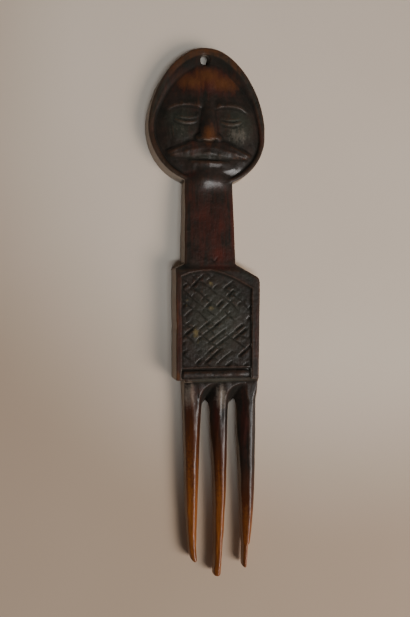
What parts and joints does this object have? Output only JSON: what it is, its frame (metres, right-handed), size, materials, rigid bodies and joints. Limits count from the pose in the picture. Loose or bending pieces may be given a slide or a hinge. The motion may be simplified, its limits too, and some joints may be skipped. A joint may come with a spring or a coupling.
{
  "type": "comb",
  "caption": "Carved wooden hair comb with a head-shaped finial, a flat neck, a hatched grip block and long tapering tines; a small hole in the crown takes a cord.",
  "frame": {"origin": "middle of the comb's length and of its widest line, on the flat surface it lies on", "axes": "+Y along the comb from the tine tips to the crown, +X across the comb to the viewer's right when the face is up and the crown is away, +Z out of the carved front"},
  "size_m": [0.041, 0.18, 0.01],
  "materials": {
    "dark_wood": "waxed, dark patina",
    "black_wood": "waxed, near-black patina",
    "red_wood": "waxed, red-brown where handled",
    "worn_wood": "waxed, rubbed on its edges",
    "honey_wood": "polished by use, honey brown"
  },
  "bodies": {
    "root": {"head_plate": "dark_wood", "head_rim": "worn_wood", "face": "red_wood", "neck": "red_wood", "block": "dark_wood", "panel_border": "worn_wood", "hatch_field": "black_wood", "cross_bar": "black_wood", "tine_yoke": "dark_wood", "tine_left": "honey_wood", "tine_middle": "honey_wood", "tine_right": "worn_wood"}
  },
  "joints": []
}
